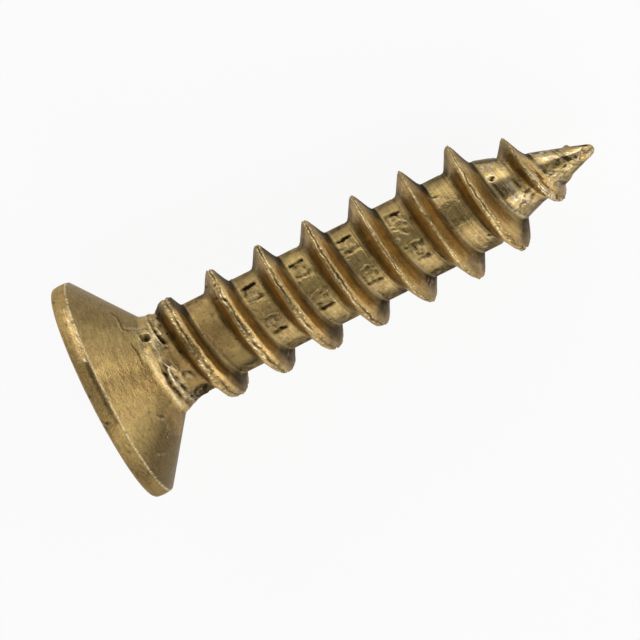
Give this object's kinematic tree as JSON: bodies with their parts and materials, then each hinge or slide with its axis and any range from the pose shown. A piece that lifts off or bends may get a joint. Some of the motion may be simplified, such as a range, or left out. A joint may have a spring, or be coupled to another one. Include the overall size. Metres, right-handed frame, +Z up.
{
  "type": "self-tapping screw",
  "caption": "Countersunk self-tapping screw with a cross recess, a coarse right-hand thread and a sharp point.",
  "frame": {"origin": "under the middle of the screw's length and width, on the surface that it lies on", "axes": "+X from the head to the point, level with the surface; +Z up; the screw's own axis slopes 7.32 degrees down towards the point, because it rests on the head's rim and one thread crest"},
  "size_m": [0.0162, 0.0068, 0.0067],
  "materials": {
    "antique_brass_plating": "satin antique brass plating over steel, bright on crests and edges and dark in hollows"
  },
  "bodies": {
    "root": {"screw": "antique_brass_plating"}
  },
  "joints": []
}
